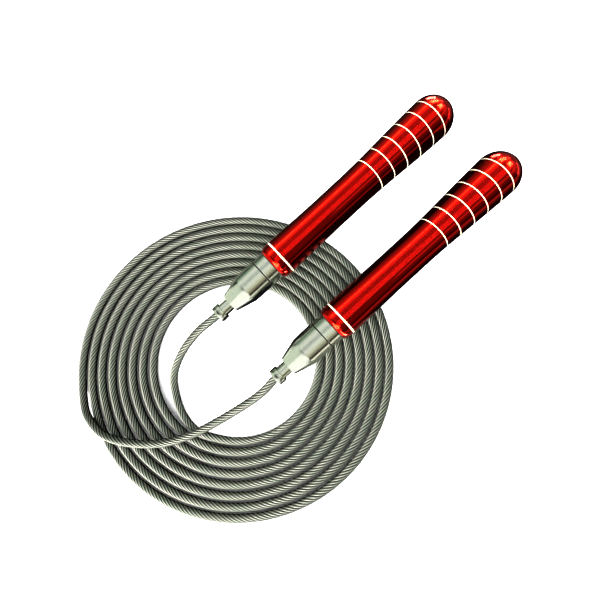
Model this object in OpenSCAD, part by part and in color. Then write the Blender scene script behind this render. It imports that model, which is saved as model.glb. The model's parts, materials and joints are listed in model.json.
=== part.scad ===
// Speed jump rope: two aluminium handles on ball bearings, each with a swivelling head that
// grips the wire cable with a spring-loaded ball clamp, and one long cable laid in a flat coil.
//
// Frame: +Z up, the rope lies on z = 0. +Y runs along both handles towards their butts.
// The origin is under the middle of the two handles. Sizes are in millimetres.
// Along a handle the pieces are placed by their distance "z" from the front ring, butt positive.

/* [Cable] */
// Cable diameter over its clear coat
cable_d = 4.2; // [3.8:0.1:4.2]
// Full turns in the flat coil
coil_turns = 8; // [4:1:8]
// Distance between neighbouring turns
coil_pitch = 5.25; // [4.6:0.05:5.4]
// Centreline radius of the innermost turn
coil_inner_r = 43.5; // [42:0.5:45]

/* [Handles] */
// Distance between the two handle axes
handle_gap = 42.6; // [40:0.1:50]
// How far the outer handle lies ahead of the inner one
handle_stagger = 1.2; // [0:0.1:4]
// Radius of the shoulder behind the head
shoulder_r = 9.5; // [9.2:0.1:10]
// Smallest radius of the grip
waist_r = 8.85; // [8.6:0.05:9]
// Largest radius of the grip, at the butt
bulb_r = 11.05; // [10.5:0.05:12]
// Centre of the domed butt, from the front ring
dome_z = 101; // [100:1:110]
// Gap between the resting handle and the coil under it
coil_clearance = 0.3; // [0.3:0.1:1]

/* [Grip rings] */
// Position of the first of the six rear rings
first_ring_z = 60; // [56:0.5:62]
// Distance between the rear rings
ring_step = 8.1; // [7:0.1:8.1]
// Distance between the last two rings
last_ring_step = 7.3; // [6.5:0.1:8]
// Width of a rear ring
ring_w = 0.7; // [0.4:0.1:1.2]
// Width of the front ring
front_ring_w = 1.1; // [0.6:0.1:1.6]
// Depth of every ring
ring_depth = 0.2; // [0.1:0.05:0.4]

/* [Head] */
// Radius of the collar and of the swivelling head
head_r = 7.8; // [7.7:0.05:8]
// Radius at the nose of the head's cone
nose_r = 5.1; // [4.6:0.1:5.4]
// Radius of the release button's neck
neck_r = 3.3; // [3.2:0.05:3.4]
// Radius of the release button's flange
button_r = 4.4; // [4:0.1:5]
// Travel of the release button into the head
button_travel = 2; // [1:0.1:2.4]

/* [Bearings] */
// Bore of each bearing
bearing_bore = 7; // [7:1:7]
// Outer diameter of each bearing
bearing_od = 13; // [13:1:13]
// Width of each bearing
bearing_w = 4; // [4:1:4]
// Diameter of a bearing ball
ball_d = 2; // [1.8:0.1:2]
// Balls in each bearing
ball_count = 8; // [6:1:9]

/* [Hidden] */
$fn = 64;

inner = -1;
outer = 1;
red = [0.78, 0.10, 0.07];
silver = [0.80, 0.81, 0.80];
steel = [0.62, 0.63, 0.64];
brass = [0.78, 0.64, 0.35];
black = [0.06, 0.06, 0.06];
cable_grey = [0.52, 0.54, 0.50];

// Grip outline: a shoulder, a flared front, a straight waist and a bulb that swells to the butt
waist_front_z = 36;
waist_rear_z = 47;
bulb_rise = 60;
shoulder_drop = 1.6;
shoulder_l = 5.1;
grip_front_z = -5.7;
outline_step = 3;
dome_steps = 12;

// Stations along the head, from the front ring
collar_front_z = -11.6;
washer_front_z = -12.4;
washer_w = 0.5;
cone_base_z = -23.8;
nose_z = -34.2;
button_back_z = nose_z - 3 - button_travel;
tip_z = -43;

// Bores and walls
cable_r = cable_d / 2;
cable_clear = 0.3;
running_gap = 0.08;
bore_r = cable_r + cable_clear;
shell_bore_r = 6.2;
collar_shank_r = 7.2;
tail_room_r = 4;
nut_room_r = 6;
nut_room_z = 20;
tail_room_z = 96;

// Bearings: the front one sits behind the collar's lip, the rear one against the grip's step
race_seat_r = bearing_od / 2;
shaft_r = bearing_bore / 2;
front_bearing_z = -10;
rear_bearing_z = 8;
bearing_zs = [front_bearing_z, rear_bearing_z];
race_step_z = rear_bearing_z + bearing_w;
ball_circle_r = (race_seat_r + shaft_r) / 2;
race_wall = 0.85;
race_groove_r = ball_d / 2 + 0.04;
cage_wall = 0.6;
cage_w = 2.6;

// Spindle and its nut
spindle_flange_z = -14.5;
spindle_shoulder_r = 4.6;
spindle_end_z = 16.5;
nut_w = 3.5;
nut_flats = 9;

// Ball clamp: a sleeve with a taper that narrows towards the cable's way out
clamp_front_z = -26;
clamp_rear_z = -15;
clamp_taper = 8;
clamp_ball_d = 2.4;
clamp_ball_count = 3;
clamp_ball_z = -22.5;
clamp_ball_gap = 0.03;
clamp_ball_circle_r = cable_r + clamp_ball_gap + clamp_ball_d / 2;
carrier_front_z = -36;
carrier_joint_z = -33;
carrier_seat_z = -20.5;
carrier_end_z = -19.3;
carrier_seat_r = 4.3;
spigot_r = 2.9;
spring_wire_d = 0.6;
spring_r = 3.4;
spring_turns = 4;
spring_sides = 6;
spring_steps = 14;

// Cable ends inside the grips
tail_end_z = 62;
cap_l = 8;
cap_wall = 0.25;

// Where a handle lies: its butt on the floor, its shoulder just over the coil
butt_r = grip_r(dome_z);
handle_tilt = asin((cable_d + coil_clearance + shoulder_r - butt_r) / dome_z);
handle_l = dome_z - tip_z;
butt_y = (handle_l * cos(handle_tilt) + button_r * sin(handle_tilt) - butt_r) / 2;

// Coil centre
coil_x = -1.3;
coil_y = -92.5;
web_t = 0.8;

// Cable routes, from each head's tip to the coil, chosen by hand
lead_sides = 10;
lead_steps = 2;
lead_start = 0.1;
route_a = [
    [-22.2, -84.5, 14.2], [-23.2, -91, 12], [-23.5, -97.5, 9.4], [-23, -104.5, 7],
    [-21.4, -111.5, 5.1], [-18.6, -117.8, 3.7], [-14.4, -122.8, 2.7], [-8.8, -126.4, 2.1],
    [-2.4, -129.1, 2.1], [4.4, -130.4, 2.1], [10.8, -131.4, 2.1], [17.4, -131.5, 2.1]
];
route_b = [
    [22, -83.5, 14.6], [21.8, -90, 13], [20.9, -96.5, 11.2], [19.7, -103.5, 9.8],
    [18.3, -110.5, 8.8], [16.8, -117.5, 8.1], [15, -124.8, 7.7], [12.6, -132, 7.5],
    [9.8, -138.8, 7.4], [6.2, -145.4, 7.4], [1.8, -151.4, 7.4], [-3, -156.8, 7.4],
    [-8, -161.6, 7.3], [-13.6, -165.8, 7.2], [-20, -169.2, 6.8], [-27.2, -170.2, 6.4],
    [-35, -169.4, 4.6], [-43, -163, 2.1]
];

// Radius of the grip's skin at a station
function grip_r(z) =
    z < 0 ? shoulder_r
    : z < waist_front_z ? waist_r + (shoulder_r - waist_r) * pow(1 - z / waist_front_z, 2)
    : z < waist_rear_z ? waist_r
    : waist_r + (bulb_r - waist_r) * (1 - cos(180 * (z - waist_rear_z) / bulb_rise)) / 2;

// Stations of the six rear rings
function rear_ring_z(i) = first_ring_z + min(i, 4) * ring_step + max(i - 4, 0) * last_ring_step;

// Radius of the clamp sleeve's taper at a station
function taper_r(z) =
    clamp_ball_circle_r
    + (clamp_ball_d / 2 + clamp_ball_gap) / cos(clamp_taper)
    + (z - clamp_ball_z) * tan(clamp_taper);

// Centre of a head's tip in the rope's frame, moved on along the cable by d
function tip(side, d) = [
    side * handle_gap / 2,
    butt_y + side * handle_stagger / 2 - (handle_l + d) * cos(handle_tilt),
    butt_r + (handle_l + d) * sin(handle_tilt)
];

function unit(v) = v / norm(v);

// Point at t between p1 and p2 on a smooth curve through four points
function blend(p0, p1, p2, p3, t) =
    0.5 * (2 * p1 + (p2 - p0) * t
    + (2 * p0 - 5 * p1 + 4 * p2 - p3) * t * t
    + (3 * p1 - p0 - 3 * p2 + p3) * t * t * t);

// A smooth path through hand-placed points, never lower than a cable lying on the floor
function smooth(pts, steps) =
    let (n = len(pts), ends = concat([2 * pts[0] - pts[1]], pts, [2 * pts[n - 1] - pts[n - 2]]))
    [for (k = [0 : (n - 1) * steps])
        let (i = min(floor(k / steps), n - 2), t = k / steps - i)
        let (p = blend(ends[i], ends[i + 1], ends[i + 2], ends[i + 3], t))
        [p.x, p.y, max(p.z, cable_r)]];

// A round tube swept along a path as one closed solid
module tube(path, r, sides) {
    n = len(path);
    rings = [for (i = [0 : n - 1])
        let (t = unit(path[min(i + 1, n - 1)] - path[max(i - 1, 0)]))
        let (u = unit(cross(t, abs(t.z) > 0.9 ? [1, 0, 0] : [0, 0, 1])), v = cross(t, u))
        for (k = [0 : sides - 1])
            path[i] + r * (cos(360 * k / sides) * u + sin(360 * k / sides) * v)];
    walls = [for (i = [0 : n - 2], k = [0 : sides - 1])
        let (a = i * sides, b = a + sides, m = (k + 1) % sides)
        [a + k, b + k, b + m, a + m]];
    start = [[for (k = [0 : sides - 1]) k]];
    end = [[for (k = [sides - 1 : -1 : 0]) (n - 1) * sides + k]];
    polyhedron(points = rings, faces = concat(start, walls, end), convexity = 4);
}

// Puts a piece drawn about +Z into its handle
module place(side) {
    translate([side * handle_gap / 2, butt_y + side * handle_stagger / 2, butt_r])
        rotate([-90 - handle_tilt, 0, 0])
            translate([0, 0, -dome_z])
                children();
}

// A washer, tube or disc between two stations
module ring(z0, z1, r_out, r_in) {
    translate([0, 0, z0])
        difference() {
            cylinder(h = z1 - z0, r = r_out);
            translate([0, 0, -1])
                cylinder(h = z1 - z0 + 2, r = r_in);
        }
}

// Centre stations of both rows of bearing balls
function ball_row_z(i) = bearing_zs[i] + bearing_w / 2;

module ring_groove(z, w) {
    ring(z - w / 2, z + w / 2, grip_r(z) + 1, grip_r(z) - ring_depth);
}

module grip() {
    front_arc = [for (a = [-90 : 10 : 0])
        [shoulder_r - shoulder_drop + shoulder_drop * cos(a),
         grip_front_z + shoulder_l + shoulder_l * sin(a)]];
    skin = [for (z = [0 : outline_step : dome_z - outline_step / 2]) [grip_r(z), z]];
    dome = [for (i = [0 : dome_steps])
        [butt_r * cos(90 * i / dome_steps), dome_z + butt_r * sin(90 * i / dome_steps)]];
    color(red)
        difference() {
            rotate_extrude()
                polygon(concat([[0, grip_front_z]], front_arc, skin, dome));
            ring_groove(0, front_ring_w);
            for (i = [0 : 5])
                ring_groove(rear_ring_z(i), ring_w);
            translate([0, 0, grip_front_z - 1])
                cylinder(h = race_step_z - grip_front_z + 1, r = collar_shank_r);
            translate([0, 0, race_step_z - 1])
                cylinder(h = nut_room_z - race_step_z + 1, r = nut_room_r);
            translate([0, 0, nut_room_z - 1])
                cylinder(h = tail_room_z - nut_room_z + 1, r = tail_room_r);
        }
}

module front_collar() {
    chamfer = 0.4;
    flange = [
        [spindle_shoulder_r + 0.4, collar_front_z], [head_r - chamfer, collar_front_z],
        [head_r, collar_front_z + chamfer], [head_r, grip_front_z],
        [collar_shank_r, grip_front_z], [collar_shank_r, race_step_z],
        [race_seat_r, race_step_z], [race_seat_r, front_bearing_z],
        [spindle_shoulder_r + 0.4, front_bearing_z]
    ];
    color(silver)
        rotate_extrude()
            polygon(flange);
}

module bearing_outer_races() {
    color(steel)
        for (i = [0, 1])
            difference() {
                ring(bearing_zs[i], bearing_zs[i] + bearing_w, race_seat_r, race_seat_r - race_wall);
                translate([0, 0, ball_row_z(i)])
                    rotate_extrude()
                        translate([ball_circle_r, 0])
                            circle(r = race_groove_r);
            }
}

module race_spacer() {
    color(steel)
        ring(front_bearing_z + bearing_w, rear_bearing_z, race_seat_r, race_seat_r - 0.6);
}

module bearing_inner_races() {
    color(steel)
        for (i = [0, 1])
            difference() {
                ring(bearing_zs[i], bearing_zs[i] + bearing_w, shaft_r + race_wall, shaft_r);
                translate([0, 0, ball_row_z(i)])
                    rotate_extrude()
                        translate([ball_circle_r, 0])
                            circle(r = race_groove_r);
            }
}

module bearing_balls() {
    color(silver)
        for (i = [0, 1], k = [0 : ball_count - 1])
            rotate([0, 0, 360 * k / ball_count])
                translate([ball_circle_r, 0, ball_row_z(i)])
                    sphere(d = ball_d);
}

module bearing_cages() {
    color(brass)
        for (i = [0, 1])
            difference() {
                ring(ball_row_z(i) - cage_w / 2, ball_row_z(i) + cage_w / 2,
                     ball_circle_r + cage_wall / 2, ball_circle_r - cage_wall / 2);
                for (k = [0 : ball_count - 1])
                    rotate([0, 0, 360 * k / ball_count])
                        translate([ball_circle_r - 1, 0, ball_row_z(i)])
                            rotate([0, 90, 0])
                                cylinder(h = 2, r = race_groove_r);
            }
}

module spindle() {
    outline = [
        [bore_r, spindle_flange_z], [shell_bore_r, spindle_flange_z],
        [shell_bore_r, washer_front_z], [spindle_shoulder_r, washer_front_z],
        [spindle_shoulder_r, front_bearing_z], [shaft_r, front_bearing_z],
        [shaft_r, spindle_end_z], [bore_r, spindle_end_z]
    ];
    color(steel)
        rotate_extrude()
            polygon(outline);
}

module spindle_nut() {
    color(brass)
        translate([0, 0, race_step_z])
            difference() {
                cylinder(h = nut_w, r = nut_flats / sqrt(3), $fn = 6);
                translate([0, 0, -1])
                    cylinder(h = nut_w + 2, r = shaft_r);
            }
}

module seal_washer() {
    color(black)
        ring(washer_front_z, washer_front_z + washer_w, head_r - 0.5, spindle_shoulder_r);
}

module head_shell() {
    chamfer = 0.4;
    outline = [
        [neck_r + running_gap, nose_z], [nose_r - 0.2, nose_z], [nose_r, nose_z + 0.2],
        [head_r, cone_base_z], [head_r, washer_front_z - chamfer],
        [head_r - chamfer, washer_front_z], [shell_bore_r, washer_front_z],
        [shell_bore_r, clamp_front_z], [neck_r + running_gap, clamp_front_z]
    ];
    color(silver)
        rotate_extrude()
            polygon(outline);
}

module clamp_sleeve() {
    outline = [
        [taper_r(clamp_front_z), clamp_front_z], [shell_bore_r, clamp_front_z],
        [shell_bore_r, clamp_rear_z], [taper_r(clamp_rear_z), clamp_rear_z]
    ];
    color(steel)
        rotate_extrude()
            polygon(outline);
}

module release_button() {
    chamfer = 0.5;
    outline = [
        [bore_r, tip_z], [button_r - chamfer, tip_z], [button_r, tip_z + chamfer],
        [button_r, button_back_z - 0.3], [button_r - 0.3, button_back_z],
        [neck_r, button_back_z], [neck_r, carrier_joint_z], [spigot_r, carrier_joint_z],
        [spigot_r, carrier_front_z], [bore_r, carrier_front_z]
    ];
    color(silver)
        rotate_extrude()
            polygon(outline);
}

module ball_carrier() {
    outline = [
        [bore_r, carrier_front_z], [spigot_r, carrier_front_z], [spigot_r, carrier_joint_z],
        [neck_r, carrier_joint_z], [neck_r, carrier_seat_z], [carrier_seat_r, carrier_seat_z],
        [carrier_seat_r, carrier_end_z], [bore_r, carrier_end_z]
    ];
    color(steel)
        difference() {
            rotate_extrude()
                polygon(outline);
            for (k = [0 : clamp_ball_count - 1])
                rotate([0, 0, 360 * k / clamp_ball_count])
                    translate([bore_r - 1, 0, clamp_ball_z])
                        rotate([0, 90, 0])
                            cylinder(h = 3, r = clamp_ball_d / 2 + 0.04);
        }
}

module clamp_balls() {
    color(silver)
        for (k = [0 : clamp_ball_count - 1])
            rotate([0, 0, 360 * k / clamp_ball_count])
                translate([clamp_ball_circle_r, 0, clamp_ball_z])
                    sphere(d = clamp_ball_d);
}

module release_spring() {
    z0 = carrier_end_z + spring_wire_d / 2 + 0.05;
    z1 = spindle_flange_z - spring_wire_d / 2 - 0.05;
    n = spring_turns * spring_steps;
    color(steel)
        tube([for (i = [0 : n])
            [spring_r * cos(360 * i / spring_steps), spring_r * sin(360 * i / spring_steps),
             z0 + (z1 - z0) * i / n]], spring_wire_d / 2, spring_sides);
}

module cable_tail() {
    color(cable_grey)
        translate([0, 0, tip_z])
            cylinder(h = tail_end_z - tip_z, r = cable_r);
}

module cable_end_cap() {
    color(black)
        translate([0, 0, tail_end_z - cap_l])
            difference() {
                cylinder(h = cap_l + 1, r = cable_r + cap_wall);
                translate([0, 0, -1])
                    cylinder(h = cap_l + 1, r = cable_r);
            }
}

module cable_lead_a() {
    color(cable_grey)
        tube(smooth(concat([tip(inner, lead_start)], route_a), lead_steps), cable_r, lead_sides);
}

module cable_lead_b() {
    color(cable_grey)
        tube(smooth(concat([tip(outer, lead_start)], route_b), lead_steps), cable_r, lead_sides);
}

module cable_coil() {
    coil_outer_r = coil_inner_r + (coil_turns - 1) * coil_pitch;
    color(cable_grey)
        translate([coil_x, coil_y, cable_r])
            rotate_extrude() {
                for (k = [0 : coil_turns - 1])
                    translate([coil_inner_r + k * coil_pitch, 0])
                        circle(d = cable_d, $fn = 32);
                translate([coil_inner_r, -web_t / 2])
                    square([coil_outer_r - coil_inner_r, web_t]);
            }
}

place(inner) grip();  // grip_a
place(inner) front_collar();  // front_collar_a
place(inner) bearing_outer_races();  // bearing_outer_races_a
place(inner) race_spacer();  // race_spacer_a
place(inner) bearing_inner_races();  // bearing_inner_races_a
place(inner) bearing_balls();  // bearing_balls_a
place(inner) bearing_cages();  // bearing_cages_a
place(inner) spindle();  // spindle_a
place(inner) spindle_nut();  // spindle_nut_a
place(inner) seal_washer();  // seal_washer_a
place(inner) head_shell();  // head_shell_a
place(inner) clamp_sleeve();  // clamp_sleeve_a
place(inner) release_button();  // release_button_a
place(inner) ball_carrier();  // ball_carrier_a
place(inner) clamp_balls();  // clamp_balls_a
place(inner) release_spring();  // release_spring_a
place(inner) cable_tail();  // cable_tail_a
place(inner) cable_end_cap();  // cable_end_cap_a
place(outer) grip();  // grip_b
place(outer) front_collar();  // front_collar_b
place(outer) bearing_outer_races();  // bearing_outer_races_b
place(outer) race_spacer();  // race_spacer_b
place(outer) bearing_inner_races();  // bearing_inner_races_b
place(outer) bearing_balls();  // bearing_balls_b
place(outer) bearing_cages();  // bearing_cages_b
place(outer) spindle();  // spindle_b
place(outer) spindle_nut();  // spindle_nut_b
place(outer) seal_washer();  // seal_washer_b
place(outer) head_shell();  // head_shell_b
place(outer) clamp_sleeve();  // clamp_sleeve_b
place(outer) release_button();  // release_button_b
place(outer) ball_carrier();  // ball_carrier_b
place(outer) clamp_balls();  // clamp_balls_b
place(outer) release_spring();  // release_spring_b
place(outer) cable_tail();  // cable_tail_b
place(outer) cable_end_cap();  // cable_end_cap_b
cable_lead_a();
cable_coil();
cable_lead_b();
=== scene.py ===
import bpy
import json
import math
import numpy as np
from mathutils import Matrix, Vector

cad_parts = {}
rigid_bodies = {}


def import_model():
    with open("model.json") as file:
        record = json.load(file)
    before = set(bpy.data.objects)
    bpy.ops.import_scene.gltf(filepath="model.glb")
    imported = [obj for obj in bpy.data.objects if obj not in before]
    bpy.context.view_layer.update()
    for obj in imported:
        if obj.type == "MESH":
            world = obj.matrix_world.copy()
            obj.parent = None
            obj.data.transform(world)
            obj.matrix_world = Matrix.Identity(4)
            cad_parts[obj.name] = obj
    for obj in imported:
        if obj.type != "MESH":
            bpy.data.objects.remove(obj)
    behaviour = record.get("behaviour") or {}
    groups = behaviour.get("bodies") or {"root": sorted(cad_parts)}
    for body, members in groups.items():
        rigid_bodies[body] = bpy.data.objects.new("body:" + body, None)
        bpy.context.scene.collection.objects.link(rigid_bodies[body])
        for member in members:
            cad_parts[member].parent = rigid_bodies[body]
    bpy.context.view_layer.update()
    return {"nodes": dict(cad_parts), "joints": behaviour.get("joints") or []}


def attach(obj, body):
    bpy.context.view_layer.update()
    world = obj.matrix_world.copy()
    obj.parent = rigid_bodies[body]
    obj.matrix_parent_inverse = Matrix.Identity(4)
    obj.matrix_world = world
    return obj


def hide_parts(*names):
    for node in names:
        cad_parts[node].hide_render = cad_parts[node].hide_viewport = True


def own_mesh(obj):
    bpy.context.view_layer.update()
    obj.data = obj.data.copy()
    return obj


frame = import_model()
MM = 0.001


# ---- Camera: nearly overhead, the handles running up to the right ----

camera = bpy.data.cameras.new("camera")
camera.lens = 23.03
camera.sensor_width = 36
camera.clip_start = 0.01
eye = bpy.data.objects.new("camera", camera)
eye.location = (0.03213, -0.03449, 0.20008)
eye.rotation_euler = [math.radians(a) for a in (5.3, 8.15, 47.7)]
bpy.context.scene.collection.objects.link(eye)
bpy.context.scene.camera = eye


# ---- Where each handle lies, from its spin joint in the record ----

GRIP_FRONT = -5.7                 # mm from the front ring, butt positive, as in the CAD
TIP = -43.0
joints = {j["name"]: j for j in frame["joints"]}


def handle_matrix(side):
    """Local +Z runs along the handle to its butt, from the front ring."""
    j = joints["handle_" + side + "_spin"]
    axis = Vector(j["axis"]).normalized()
    x = Vector((1, 0, 0))
    y = axis.cross(x)
    rot = Matrix((x, y, axis)).transposed().to_4x4()
    return Matrix.Translation(Vector(j["pos_m"]) - axis * GRIP_FRONT * MM) @ rot


PLACE = {s: handle_matrix(s) for s in "ab"}


# ---- The cable: one length, from tip to tip, through the flat coil ----

CABLE_R = 2.1
REST_Z = 2.2
LAY = 20.6                        # mm along the cable for one turn of its strands
STRANDS = 8
STRAND_R = 0.58

# Points of the cable's centreline in mm, from each head's tip to the coil
route_a = [
    (-22.2, -84.5, 14.2), (-23.2, -91, 12), (-23.5, -97.5, 9.4), (-23, -104.5, 7),
    (-21.4, -111.5, 5.1), (-18.6, -117.8, 3.7), (-14.4, -122.8, 2.7), (-8.8, -126.4, 2.1),
    (-2.4, -129.1, 2.1), (4.4, -130.4, 2.1), (10.8, -130.2, 2.1), (16.6, -128.2, 2.1),
]
route_b = [
    (22, -83.5, 14.6), (21.8, -90, 13), (20.9, -96.5, 11.2), (19.7, -103.5, 9.8),
    (18.3, -110.5, 8.8), (16.8, -117.5, 8.1), (15, -124.8, 7.7), (12.6, -132, 7.5),
    (9.8, -138.8, 7.4), (6.2, -145.4, 7.4), (1.8, -151.4, 7.4), (-3, -156.8, 7.4),
    (-8, -161.6, 7.3), (-13.6, -165.8, 7.2), (-20, -169.2, 6.8), (-27.2, -170.2, 6.4),
    (-35, -170.3, 4.8), (-42.8, -167.8, 3), (-50.4, -163.2, 2.1),
]


# The coil in mm. Each pair is the value at the inner end, and how much it grows in a turn
COIL_R = (40.3, 5.29)
COIL_X, COIL_Y = (0.7, -0.08), (-89.2, -0.66)
OVAL_COS, OVAL_SIN = (0.62, 0.08), (0.74, 0.2)
COIL_FROM = 226.7                 # degrees round from +X
LEAD_IN, TURNS = 0.215, 8.0       # turns from the inner end where the inner and outer leads join
TURN_MARKS = 374


def coil(turns):
    """Centreline of the coil, slightly out of round as hand-wound cable is."""
    r, x, y, oval_cos, oval_sin = (at + by * turns
                                   for at, by in (COIL_R, COIL_X, COIL_Y, OVAL_COS, OVAL_SIN))
    a = math.radians(COIL_FROM) + 2 * math.pi * turns
    r = r - oval_cos * math.cos(2 * a) + oval_sin * math.sin(2 * a)
    return (x + r * math.cos(a), y + r * math.sin(a), REST_Z)


def smooth(points, steps):
    """A Catmull-Rom line through the points."""
    p = np.array(points, float)
    e = np.vstack([2 * p[0] - p[1], p, 2 * p[-1] - p[-2]])
    t = np.linspace(0, 1, steps, endpoint=False)[:, None]
    runs = []
    for i in range(len(p) - 1):
        p0, p1, p2, p3 = e[i:i + 4]
        runs.append(0.5 * (2 * p1 + (p2 - p0) * t + (2 * p0 - 5 * p1 + 4 * p2 - p3) * t ** 2
                           + (3 * p1 - p0 - 3 * p2 + p3) * t ** 3))
    return np.vstack(runs + [p[-1:]])


def even(points, step):
    """The same line, with its points spaced evenly."""
    s = np.r_[0, np.cumsum(np.linalg.norm(np.diff(points, axis=0), axis=1))]
    at = np.linspace(0, s[-1], int(s[-1] / step) + 1)
    return np.column_stack([np.interp(at, s, points[:, k]) for k in range(3)])


def tip(side):
    return np.array(PLACE[side] @ Vector((0, 0, TIP * MM))) / MM


wound = [coil(t) for t in np.linspace(LEAD_IN, TURNS, TURN_MARKS)]
line = smooth([tip("a")] + route_a + wound + route_b[::-1] + [tip("b")], 6)
line[:, 2] = np.maximum(line[:, 2], REST_Z)
line = even(line, 1.0)


def cable_mesh(path):
    """Eight round strands laid right-handed: the section turns once in each lay length."""
    per = STRANDS * 8
    t = np.gradient(path, axis=0)
    t /= np.linalg.norm(t, axis=1)[:, None]
    side = np.cross(t, (0, 0, 1))
    side /= np.linalg.norm(side, axis=1)[:, None]
    up = np.cross(side, t)
    run = np.r_[0, np.cumsum(np.linalg.norm(np.diff(path, axis=0), axis=1))]
    around = np.linspace(0, 2 * math.pi, per, endpoint=False)
    pitch = 2 * math.pi / STRANDS
    off = np.mod(around + pitch / 2, pitch) - pitch / 2
    centre = CABLE_R - STRAND_R
    radius = centre * np.cos(off) + np.sqrt(np.maximum(STRAND_R ** 2 - (centre * np.sin(off)) ** 2, 0))
    hump = (radius - radius.min()) / (radius.max() - radius.min())
    turn = around[None, :] - (2 * math.pi / LAY) * run[:, None]
    co = (path[:, None, :] + radius[None, :, None]
          * (np.cos(turn)[..., None] * up[:, None, :] + np.sin(turn)[..., None] * side[:, None, :] * -1))
    n = len(path)
    i = np.arange(n - 1)[:, None] * per
    k = np.arange(per)[None, :]
    m = (k + 1) % per
    quads = np.stack([i + k, i + m, i + per + m, i + per + k], axis=-1).reshape(-1, 4)
    me = bpy.data.meshes.new("cable")
    me.vertices.add(n * per)
    me.vertices.foreach_set("co", (co * MM).astype(np.float32).ravel())
    faces = len(quads)
    me.loops.add(faces * 4 + 2 * per)
    ends = np.concatenate([np.arange(per)[::-1], (n - 1) * per + np.arange(per)])
    me.loops.foreach_set("vertex_index", np.concatenate([quads.ravel(), ends]).astype(np.int32))
    me.polygons.add(faces + 2)
    starts = np.concatenate([np.arange(faces) * 4, [faces * 4, faces * 4 + per]])
    me.polygons.foreach_set("loop_start", starts.astype(np.int32))
    me.update(calc_edges=True)
    me.validate()
    # Painted shade: the strand colour is darkened on the cable's underside, towards the floor, and carried
    # with the strand shape in one attribute
    painted_underside_shade = 0.2 + 0.8 * np.clip((np.cos(turn) + 0.2) / 0.65, 0, 1)
    strand = me.attributes.new("strand", "FLOAT", "POINT")
    strand.data.foreach_set("value", (hump[None, :] * painted_underside_shade).astype(np.float32).ravel())
    wire = me.attributes.new("wire", "FLOAT_VECTOR", "POINT")
    lane = np.floor(around / pitch + 0.5) % STRANDS
    rows = np.stack([np.repeat(run, per), np.tile(lane * 7.3, n), np.zeros(n * per)], axis=-1)
    wire.data.foreach_set("vector", rows.astype(np.float32).ravel())
    me.shade_smooth()
    me.set_sharp_from_angle(angle=math.radians(70))
    return me


# ---- Materials ----

def nodes_of(name):
    """A new material with its node tree and its surface shader."""
    m = bpy.data.materials.new(name)
    m.use_nodes = True
    t = m.node_tree
    return m, t, t.nodes["Principled BSDF"]


def ramp(t, source, stops):
    r = t.nodes.new("ShaderNodeValToRGB")
    while len(r.color_ramp.elements) < len(stops):
        r.color_ramp.elements.new(0.5)
    for el, (at, colour) in zip(r.color_ramp.elements, stops):
        el.position = at
        el.color = (*colour, 1)
    t.links.new(source, r.inputs[0])
    return r.outputs[0]


def noise(t, vector, scale, detail=4, stretch=(1, 1, 1), turn=(0, 0, 0)):
    mp = t.nodes.new("ShaderNodeMapping")
    mp.inputs["Scale"].default_value = stretch
    mp.inputs["Rotation"].default_value = turn
    t.links.new(vector, mp.inputs[0])
    nz = t.nodes.new("ShaderNodeTexNoise")
    nz.inputs["Scale"].default_value = scale
    nz.inputs["Detail"].default_value = detail
    t.links.new(mp.outputs[0], nz.inputs["Vector"])
    return nz.outputs["Fac"]


def spread(t, source, low, high):
    """The middle of a noise's range stretched to low..high."""
    mr = t.nodes.new("ShaderNodeMapRange")
    mr.inputs["From Min"].default_value = 0.3
    mr.inputs["From Max"].default_value = 0.7
    mr.inputs["To Min"].default_value = low
    mr.inputs["To Max"].default_value = high
    t.links.new(source, mr.inputs[0])
    return mr.outputs[0]


def bump(t, bsdf, height, strength, distance):
    b = t.nodes.new("ShaderNodeBump")
    b.inputs["Strength"].default_value = strength
    b.inputs["Distance"].default_value = distance
    t.links.new(height, b.inputs["Height"])
    t.links.new(b.outputs[0], bsdf.inputs["Normal"])


TILT = math.asin(-joints["handle_a_spin"]["axis"][2])


def metal(name, dark, light, rough, marks, local, strength=0.15, coat=0.0, metallic=1.0, wear=900):
    """Machined metal: turning marks that change only along the axis, over faint clouding."""
    m, t, p = nodes_of(name)
    at = t.nodes.new("ShaderNodeTexCoord").outputs["Object"]
    if local:
        lines = noise(t, at, marks, 3, (0.02, 0.02, 1))
    else:
        lines = noise(t, at, marks, 3, (0.02, 1, 0.02), (TILT, 0, 0))
    cloud = noise(t, at, wear, 5)
    t.links.new(ramp(t, cloud, [(0.3, dark), (0.7, light)]), p.inputs["Base Color"])
    t.links.new(spread(t, lines, *rough), p.inputs["Roughness"])
    bump(t, p, lines, strength, 0.00002)
    p.inputs["Metallic"].default_value = metallic
    p.inputs["Coat Weight"].default_value = coat
    p.inputs["Coat Roughness"].default_value = 0.05
    return m


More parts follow.
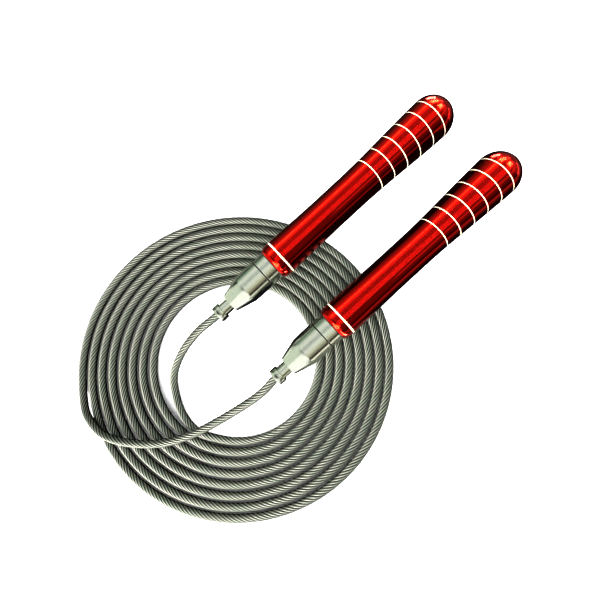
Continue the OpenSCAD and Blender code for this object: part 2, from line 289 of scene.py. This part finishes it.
def wire_cable():
    """Drawn steel strands: bright crowns, grooves and undersides darkened with painted shade, no two the same
    grey.
    """
    m, t, p = nodes_of("wire_cable")
    strand_shade_node = t.nodes.new("ShaderNodeAttribute")
    strand_shade_node.attribute_name = "strand"
    lane = t.nodes.new("ShaderNodeAttribute")
    lane.attribute_name = "wire"
    each = noise(t, lane.outputs["Vector"], 1.0, 2, (0.02, 1, 1))
    scuff = noise(t, lane.outputs["Vector"], 1.0, 4, (0.5, 3, 3))
    # The base colour goes dark in the grooves between strands and on the underside: painted shade
    base = ramp(t, strand_shade_node.outputs["Fac"], [(0.28, (0.018, 0.010, 0.006)), (0.62, (0.34, 0.36, 0.32)),
                                          (0.90, (0.87, 0.88, 0.83))])
    tone = ramp(t, each, [(0.3, (0.78, 0.84, 0.76)), (0.7, (1.0, 0.98, 0.92))])
    mix = t.nodes.new("ShaderNodeMix")
    mix.data_type = "RGBA"
    mix.blend_type = "MULTIPLY"
    mix.inputs["Factor"].default_value = 1.0
    t.links.new(base, mix.inputs["A"])
    t.links.new(tone, mix.inputs["B"])
    t.links.new(mix.outputs["Result"], p.inputs["Base Color"])
    t.links.new(spread(t, scuff, 0.36, 0.50), p.inputs["Roughness"])
    bump(t, p, scuff, 0.12, 0.00003)
    p.inputs["Metallic"].default_value = 0.7
    p.inputs["Specular IOR Level"].default_value = 0.25
    return m


def plain_cable():
    """The same wires on the straight tails inside the handles, drawn by a slanted wave."""
    m, t, p = nodes_of("tail_wires")
    at = t.nodes.new("ShaderNodeTexCoord").outputs["Object"]
    mp = t.nodes.new("ShaderNodeMapping")
    mp.inputs["Rotation"].default_value = (0, 0, math.radians(40))
    t.links.new(at, mp.inputs[0])
    wave = t.nodes.new("ShaderNodeTexWave")
    wave.inputs["Scale"].default_value = 300
    wave.inputs["Distortion"].default_value = 0.6
    t.links.new(mp.outputs[0], wave.inputs["Vector"])
    t.links.new(ramp(t, wave.outputs["Fac"], [(0.1, (0.06, 0.07, 0.055)), (0.8, (0.62, 0.65, 0.57))]),
                p.inputs["Base Color"])
    t.links.new(spread(t, noise(t, at, 2600), 0.3, 0.5), p.inputs["Roughness"])
    bump(t, p, wave.outputs["Fac"], 0.5, 0.0001)
    p.inputs["Metallic"].default_value = 0.9
    return m


def polymer():
    """Black moulded polymer with a fine matt grain."""
    m, t, p = nodes_of("black_polymer")
    at = t.nodes.new("ShaderNodeTexCoord").outputs["Object"]
    grain = noise(t, at, 3500, 6)
    t.links.new(ramp(t, grain, [(0.3, (0.012, 0.012, 0.013)), (0.7, (0.035, 0.034, 0.033))]),
                p.inputs["Base Color"])
    t.links.new(spread(t, grain, 0.42, 0.62), p.inputs["Roughness"])
    bump(t, p, grain, 0.3, 0.00005)
    return m


RED = metal("anodised_red", (0.655, 0.005, 0.001), (0.70, 0.008, 0.002), (0.09, 0.12), 5200, True,
            strength=0.012, coat=0.2)
BARE = metal("bare_groove", (0.88, 0.82, 0.73), (0.98, 0.93, 0.84), (0.42, 0.56), 6000, True, metallic=0.2)
TURNED = metal("turned_aluminium", (0.56, 0.59, 0.53), (0.63, 0.66, 0.60), (0.13, 0.20), 2400, True,
               strength=0.08)
STEEL = metal("bearing_steel", (0.50, 0.51, 0.52), (0.66, 0.67, 0.68), (0.14, 0.26), 5000, False)
SPRING = metal("spring_steel", (0.30, 0.30, 0.31), (0.44, 0.44, 0.45), (0.25, 0.42), 3000, False)
BRASS = metal("cage_brass", (0.62, 0.44, 0.18), (0.78, 0.60, 0.28), (0.22, 0.38), 4000, False)
WIRE = wire_cable()
TAIL = plain_cable()
POLYMER = polymer()


# ---- The cord ----

cable = bpy.data.objects.new("cable", cable_mesh(line))
bpy.context.scene.collection.objects.link(cable)
cable.data.materials.append(WIRE)
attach(cable, "rope")
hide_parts("cable_lead_a", "cable_coil", "cable_lead_b")


# ---- Lathe-turned pieces, each a fine revolved section in its handle's own frame ----

def lathe(name, section, mats, side, body, node, around=144):
    """section is a list of (radius, station, material index of the face that follows) in mm."""
    verts, rings, faces, index = [], [], [], []
    for r, z, _ in section:
        if r < 1e-6:
            rings.append([len(verts)] * around)
            verts.append((0, 0, z * MM))
            continue
        rings.append(list(range(len(verts), len(verts) + around)))
        for k in range(around):
            a = 2 * math.pi * k / around
            verts.append((r * MM * math.cos(a), r * MM * math.sin(a), z * MM))
    count = len(section)
    for i in range(count):
        lo, hi = rings[i], rings[(i + 1) % count]
        for k in range(around):
            m = (k + 1) % around
            quad = [lo[k], lo[m], hi[m], hi[k]]
            face = [v for n, v in enumerate(quad) if v not in quad[:n]]
            if len(face) > 2:
                faces.append(face)
                index.append(section[i][2])
    me = bpy.data.meshes.new(name)
    me.from_pydata(verts, [], faces)
    me.polygons.foreach_set("material_index", index)
    for m in mats:
        me.materials.append(m)
    me.shade_smooth()
    me.set_sharp_from_angle(angle=math.radians(24))
    ob = bpy.data.objects.new(name, me)
    bpy.context.scene.collection.objects.link(ob)
    ob.matrix_world = PLACE[side]
    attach(ob, body)
    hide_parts(node)
    turned.append(ob)


turned = []
SHOULDER_R, WAIST_R, BULB_R, DOME_Z = 9.5, 8.95, 11.05, 101.0
HEAD_R = 7.8
WAIST_FRONT, WAIST_REAR, BULB_RISE = 36, 47, 60
FIRST_RING, RING_STEP, LAST_STEP = 60, 8.1, 7.3
FRONT_RING_WIDE, REAR_RING_WIDE = 1.0, 0.66
CUT_EDGE, CUT_FLOOR = (0.13, 0.09), (0.18, 0.22)    # how deep a ring is cut, and how far in from its edge
LIP_R, LIP_ROUND, LIP_LONG = 7.9, 1.6, 5.1
BORE_MOUTH_R, BORE_STEP_R, BORE_R = 7.2, 6, 4
BORE_MOUTH, BORE_STEP, BORE_END = 12, 20, 96


def grip_r(z):
    """Radius of the skin: a flare down to the waist, a straight waist and a swelling bulb."""
    if z < 0:
        return SHOULDER_R
    if z < WAIST_FRONT:
        return WAIST_R + (SHOULDER_R - WAIST_R) * (1 - z / WAIST_FRONT) ** 2
    if z < WAIST_REAR:
        return WAIST_R
    return WAIST_R + (BULB_R - WAIST_R) * (1 - math.cos(math.pi * (z - WAIST_REAR) / BULB_RISE)) / 2


def grip_section():
    """The front lip, the shoulder, the skin with its cut rings, the dome, and back up the bore."""
    rear = [FIRST_RING + RING_STEP * min(i, 4) + LAST_STEP * max(i - 4, 0) for i in range(6)]
    grooves = [(0.0, FRONT_RING_WIDE)] + [(z, REAR_RING_WIDE) for z in rear]
    out = [(BORE_MOUTH_R, GRIP_FRONT, 0)]
    for a in range(-90, 1, 5):
        c, s = math.cos(math.radians(a)), math.sin(math.radians(a))
        out.append((LIP_R + LIP_ROUND * c, GRIP_FRONT + LIP_LONG + LIP_LONG * s, 0))
    z = out[-1][1]
    for mid, width in grooves:
        start, end = mid - width / 2, mid + width / 2
        steps = max(1, round(start - z))
        out += [(grip_r(z + (start - z) * k / steps), z + (start - z) * k / steps, 0)
                for k in range(1, steps)]
        (edge, edge_in), (deep, deep_in) = CUT_EDGE, CUT_FLOOR
        out += [(grip_r(start), start, 0), (grip_r(start) - edge, start + edge_in, 1),
                (grip_r(start) - deep, start + deep_in, 1), (grip_r(end) - deep, end - deep_in, 1),
                (grip_r(end) - edge, end - edge_in, 0), (grip_r(end), end, 0)]
        z = end
    butt_r = grip_r(DOME_Z)
    out += [(butt_r * math.cos(math.radians(a)), DOME_Z + butt_r * math.sin(math.radians(a)), 0)
            for a in range(0, 90, 3)]
    return out + [(0, DOME_Z + butt_r, 0), (0, BORE_END, 1), (BORE_R, BORE_END, 1), (BORE_R, BORE_STEP, 1),
                  (BORE_STEP_R, BORE_STEP, 1), (BORE_STEP_R, BORE_MOUTH, 1), (BORE_MOUTH_R, BORE_MOUTH, 1)]


def plain(*corners):
    """A section whose faces all take the first material."""
    return [(r, z, 0) for r, z in corners]


COLLAR = plain((5, -11.8), (7.66, -11.8), (7.75, -11.76), (HEAD_R, -11.66), (HEAD_R, -5.95), (7.6, -5.7),
               (7.2, -5.7), (7.2, 12), (6.5, 12), (6.5, -10), (5, -10))
WASHER = plain((4.6, -12.3), (7.4, -12.3), (7.4, -11.9), (4.6, -11.9))
HEAD = plain((3.38, -34.2), (4.85, -34.2), (5.02, -34.12), (5.12, -33.95), (7.77, -23.9), (HEAD_R, -23.7),
             (HEAD_R, -12.44), (7.75, -12.34), (7.66, -12.3), (6.2, -12.3), (6.2, -26), (3.38, -26))
BUTTON = plain((2.4, -43), (3.9, -43), (4.25, -42.88), (4.4, -42.5), (4.4, -39.5), (4.3, -39.3), (4.1, -39.2),
               (3.3, -39.2), (3.3, -33), (2.9, -33), (2.9, -36), (2.4, -36))

for side in "ab":
    lathe("grip_skin_" + side, grip_section(), [RED, BARE], side, "handle_" + side, "grip_" + side,
          around=192)
    lathe("collar_turned_" + side, COLLAR, [TURNED], side, "handle_" + side, "front_collar_" + side)
    lathe("washer_ring_" + side, WASHER, [POLYMER], side, "rope", "seal_washer_" + side)
    lathe("head_turned_" + side, HEAD, [TURNED], side, "rope", "head_shell_" + side)
    lathe("button_turned_" + side, BUTTON, [TURNED], side, "release_" + side, "release_button_" + side)


# ---- The release springs: each closes up between its ball carrier and the spindle flange ----

SPRING_R, SPRING_WIRE_R, SPRING_TURNS = 3.4, 0.28, 4
SPRING_FRONT, SPRING_BACK, FLANGE_Z = -18.95, -14.85, -14.5


def spring(side, around=36, sides=10):
    """A wire helix with its end turns laid flat, squashed by the button's travel."""
    count = SPRING_TURNS * around + 1
    a = np.linspace(0, 2 * math.pi * SPRING_TURNS, count)[:, None]
    b = np.linspace(0, 2 * math.pi, sides, endpoint=False)[None, :]
    rise = np.interp(a / (2 * math.pi), (0, 0.6, SPRING_TURNS - 0.6, SPRING_TURNS), (0, 0.02, 0.98, 1))
    z = SPRING_FRONT + (SPRING_BACK - SPRING_FRONT) * rise + SPRING_WIRE_R * np.sin(b)
    r = SPRING_R + SPRING_WIRE_R * np.cos(b)
    co = np.stack([r * np.cos(a), r * np.sin(a), z], axis=-1).reshape(-1, 3) * MM
    faces = [[i * sides + k, (i + 1) * sides + k, (i + 1) * sides + (k + 1) % sides,
              i * sides + (k + 1) % sides] for i in range(count - 1) for k in range(sides)]
    last = (count - 1) * sides
    faces += [list(range(sides)), list(range(last + sides - 1, last - 1, -1))]
    me = bpy.data.meshes.new("release_coil_" + side)
    me.from_pydata(co.tolist(), [], faces)
    me.materials.append(SPRING)
    me.shade_smooth()
    me.set_sharp_from_angle(angle=math.radians(50))
    ob = bpy.data.objects.new("release_coil_" + side, me)
    bpy.context.scene.collection.objects.link(ob)
    ob.matrix_world = PLACE[side]
    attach(ob, "rope")
    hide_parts("release_spring_" + side)
    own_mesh(ob)


for side in "ab":
    spring(side)


# ---- Carried-over CAD nodes: the parts inside the handles ----

INNER = {"bearing_outer_races": STEEL, "race_spacer": STEEL, "bearing_inner_races": STEEL,
         "bearing_balls": STEEL, "bearing_cages": BRASS, "spindle": STEEL, "spindle_nut": BRASS,
         "clamp_sleeve": STEEL, "ball_carrier": STEEL, "clamp_balls": STEEL, "cable_tail": TAIL,
         "cable_end_cap": POLYMER}
for stem, m in INNER.items():
    for side in "ab":
        ob = frame["nodes"][stem + "_" + side]
        ob.data.materials.clear()
        ob.data.materials.append(m)


# ---- Studio: a pale floor, a ring of soft light round it, and softboxes that the metal reflects ----

def emitter(name, colour, strength):
    """A surface that only gives light."""
    m = bpy.data.materials.new(name)
    m.use_nodes = True
    t = m.node_tree
    t.nodes.clear()
    e = t.nodes.new("ShaderNodeEmission")
    e.inputs["Color"].default_value = (*colour, 1)
    e.inputs["Strength"].default_value = strength
    o = t.nodes.new("ShaderNodeOutputMaterial")
    t.links.new(e.outputs[0], o.inputs[0])
    return m


FLOOR = 3
floor_mesh = bpy.data.meshes.new("floor")
floor_mesh.from_pydata([(-FLOOR, -FLOOR, 0), (FLOOR, -FLOOR, 0), (FLOOR, FLOOR, 0), (-FLOOR, FLOOR, 0)],
                       [], [(0, 1, 2, 3)])
floor = bpy.data.objects.new("floor", floor_mesh)
bpy.context.scene.collection.objects.link(floor)
m, t, p = nodes_of("pale_floor")
at = t.nodes.new("ShaderNodeTexCoord").outputs["Object"]
t.links.new(ramp(t, noise(t, at, 60, 3), [(0.3, (0.35, 0.35, 0.35)), (0.7, (0.37, 0.37, 0.37))]),
            p.inputs["Base Color"])
p.inputs["Roughness"].default_value = 1.0
p.inputs["Specular IOR Level"].default_value = 0.0
floor_mesh.materials.append(m)
floor.visible_glossy = False

TENT_R, TENT_LOW, TENT_HIGH = 1.6, 0.12, 0.75
tent_mesh = bpy.data.meshes.new("tent")
seg = 48
ring = [(TENT_R * math.cos(2 * math.pi * k / seg), TENT_R * math.sin(2 * math.pi * k / seg), z)
        for z in (TENT_LOW, TENT_HIGH) for k in range(seg)]
tent_mesh.from_pydata(ring, [], [(k, k + seg, (k + 1) % seg + seg, (k + 1) % seg) for k in range(seg)])
tent = bpy.data.objects.new("tent", tent_mesh)
bpy.context.scene.collection.objects.link(tent)
tent_mesh.materials.append(emitter("tent_light", (1, 1, 1), 50.0))
tent.visible_camera = False
tent.visible_glossy = False


def group(name, members):
    c = bpy.data.collections.new(name)
    for ob in members:
        c.objects.link(ob)
    return c


cable_only = group("cable_only", [cable])
floor_only = group("floor_only", [floor])
inside = list(frame["nodes"].values())
no_cable = group("no_cable", inside + turned)
whole_rope = group("whole_rope", inside + turned + [cable])
one_side = {s: group("side_" + s, [ob for ob in inside + turned if ob.name.endswith("_" + s)]) for s in "ab"}
grips = group("grips", [ob for ob in turned if ob.name.startswith("grip")])
one_grip = {s: group("grip_only_" + s, [ob for ob in grips.objects if ob.name.endswith("_" + s)])
            for s in "ab"}
one_head = {s: group("head_only_" + s, [ob for ob in turned if ob.name.endswith("_" + s)
                                        and not ob.name.startswith("grip")]) for s in "ab"}
for ob in grips.objects:
    ob.visible_glossy = False
    ob.visible_diffuse = False
tent.light_linking.receiver_collection = floor_only
tent.light_linking.blocker_collection = cable_only


def panel(name, place, turn, width, height, radiance, colour, lit):
    """A flat soft light of one radiance, seen in the metal and not by the camera."""
    lamp = bpy.data.lights.new(name, "AREA")
    lamp.shape = "RECTANGLE"
    lamp.size = width
    lamp.size_y = height
    lamp.energy = radiance * math.pi * width * height
    lamp.color = colour
    ob = bpy.data.objects.new(name, lamp)
    ob.location = place
    ob.rotation_euler = turn
    ob.visible_camera = False
    bpy.context.scene.collection.objects.link(ob)
    ob.light_linking.receiver_collection = lit
    ob.light_linking.blocker_collection = whole_rope if lit == cable_only else no_cable
    return ob


def facing(place, at, along=(0, 0, 1)):
    """Turned from place toward at, with the panel's height running along."""
    z = (Vector(place) - Vector(at)).normalized()
    x = Vector(along).cross(z).normalized()
    return Matrix((x, z.cross(x), z)).transposed().to_euler()


def long_box(name, start, end, radiance, colour, lit=one_side, reach=0.45, front=-0.22, back=2.0):
    """A light along each handle that fills the angles from start to end, straight up being 0."""
    for side, x, lean in (("a", -0.0215, -8), ("b", 0.0215, 0)):
        a = math.radians((start + end) / 2 + lean)
        width = 2 * reach * math.tan(math.radians((end - start) / 2))
        panel(name + "_" + side, (x + reach * math.sin(a), (front + back) / 2, 0.012 + reach * math.cos(a)),
              (0, a, 0), width, back - front, radiance, colour, lit[side])


long_box("low_left", -108, -84, 0.12, (0.8, 1.0, 0.7))
long_box("side_left", -84, -67, 0.42, (0.78, 1.0, 0.78))
long_box("key_left", -67, -53, 0.8, (0.86, 1.0, 0.84))
long_box("key_wide", -53, -20, 1.15, (1.0, 1.0, 0.93))
long_box("key_core", -50, -30, 0.7, (1.0, 0.92, 0.6), lit=one_grip, reach=0.44)
long_box("key_line", -44, -39, 8.0, (1.0, 0.9, 0.35), lit=one_grip, reach=0.43)
long_box("key_far", -50, -28, 32.0, (1.0, 0.8, 0.4), lit=one_grip, reach=0.42, front=0.34, back=0.8)
long_box("between", -20, 3, 0.6, (0.96, 1.0, 0.96))
long_box("head_between", -20, 3, 0.22, (0.96, 1.0, 0.96), lit=one_head, reach=0.44)
long_box("between_line", -11, -7, 0.16, (1.0, 1.0, 1.0), reach=0.44)
long_box("overhead", 3, 32, 1.2, (1.0, 1.0, 0.92))
long_box("overhead_far", -6, 20, 36.0, (1.0, 0.8, 0.4), lit=one_grip, reach=0.42, front=0.42, back=0.9)
long_box("right_wide", 32, 68, 0.24, (1.0, 0.94, 0.72))
long_box("head_right", 32, 50, 0.75, (1.0, 0.99, 0.8), lit=one_head, reach=0.44)
long_box("head_warm", 50, 66, 0.3, (1.0, 0.92, 0.66), lit=one_head, reach=0.44)
long_box("head_edge", 86, 104, 1.0, (1.0, 0.94, 0.82), lit=one_head, reach=0.44)
long_box("right_line", 41, 52, 0.6, (1.0, 0.97, 0.8), reach=0.44, front=0.10)
long_box("right_dim", 68, 85, 0.08, (1.0, 0.84, 0.6))
long_box("edge_line", 86, 97, 0.66, (1.0, 0.93, 0.82))
long_box("low_right", 97, 112, 0.2, (1.0, 0.84, 0.66))
UP = (0, 0, 1)
SHOULDER = (0, -0.05, 0.018)
AMBER = (1.0, 0.85, 0.6)
COIL_TOP = (0.01, -0.09, 0)
spots = (
    ("front", (0.46, -0.45, 0.20), (0.46, 1, 0.20), UP, 0.88, 1.1, 1.65, (1.0, 0.98, 0.95), no_cable),
    ("front_dim", (-0.42, -0.45, 0.20), (-0.42, 1, 0.20), UP, 0.86, 1.1, 1.15, (0.94, 1.0, 0.86), no_cable),
    ("front_hot", (0.21, -0.33, 0.35), SHOULDER, UP, 0.26, 0.22, 32.0, (1.0, 0.78, 0.42), grips),
    ("front_arc_1", (0.12, -0.42, 0.25), SHOULDER, (0.30, -0.10, -0.30), 0.05, 0.42, 60.0, AMBER, grips),
    ("front_arc_2", (0.40, -0.22, -0.02), SHOULDER, (0.04, 0.17, -0.42), 0.05, 0.40, 48.0, AMBER, grips),
    ("back_low", (-0.46, 0.52, 0.05), (0, 0.1, 0.01), UP, 0.26, 0.19, 20.0, (1.0, 0.96, 0.84), grips),
    ("back_rim", (0.46, 0.95, 0.02), (0, 0.1, 0.01), UP, 0.6, 0.06, 3.0, (1.0, 0.8, 0.8), grips),
    ("back_wall", (0.0, 1.3, 0.4), (0, 0, 0.4), UP, 2.4, 1.7, 0.35, (1.0, 0.98, 0.9), no_cable),
    ("ring_fill", (0.03, 0.03, 0.55), (0.0, 0.03, 0), (0, 1, 0), 0.6, 0.6, 2.9, (1.0, 0.97, 0.93), grips),
    ("cable_key", (0.19, -0.64, 0.36), (0, -0.09, 0), UP, 0.6, 0.5, 5.3, (1.0, 0.95, 0.95), cable_only),
    ("cable_top", (0.0, -0.09, 0.5), COIL_TOP, (0, 1, 0), 0.55, 0.55, 1.15, (0.92, 1.0, 0.96), cable_only),
)
for name, place, at, along, width, height, radiance, colour, lit in spots:
    lamp = panel(name, place, facing(place, at, along), width, height, radiance, colour, lit)
    lamp.visible_glossy = name != "ring_fill"

# A narrow lamp straight down on the floor inside the coil, where the cable shades the tent
pool = bpy.data.lights.new("coil_pool", "SPOT")
pool.energy = 30.0
pool.shadow_soft_size = 0.002
pool.spot_size = math.radians(9.1)
pool.spot_blend = 0.06
pool_lamp = bpy.data.objects.new("coil_pool", pool)
bpy.context.scene.collection.objects.link(pool_lamp)
pool_lamp.location = (-0.0033, -0.0936, 0.5)
pool_lamp.light_linking.receiver_collection = floor_only
pool_lamp.light_linking.blocker_collection = cable_only

world = bpy.data.worlds.new("studio")
bpy.context.scene.world = world
world.use_nodes = True
t = world.node_tree
t.nodes.clear()
path = t.nodes.new("ShaderNodeLightPath")
seen = t.nodes.new("ShaderNodeBackground")
seen.inputs["Strength"].default_value = 1.0
dim = t.nodes.new("ShaderNodeBackground")
dim.inputs["Color"].default_value = (0.02, 0.02, 0.02, 1)
seen.inputs["Color"].default_value = (1, 1, 1, 1)
either = t.nodes.new("ShaderNodeMixShader")
t.links.new(path.outputs["Is Camera Ray"], either.inputs[0])
t.links.new(dim.outputs[0], either.inputs[1])
t.links.new(seen.outputs[0], either.inputs[2])
t.links.new(either.outputs[0], t.nodes.new("ShaderNodeOutputWorld").inputs[0])
world.cycles.sampling_method = "NONE"

bpy.context.scene.view_settings.view_transform = "Standard"
bpy.context.scene.view_settings.gamma = 0.75
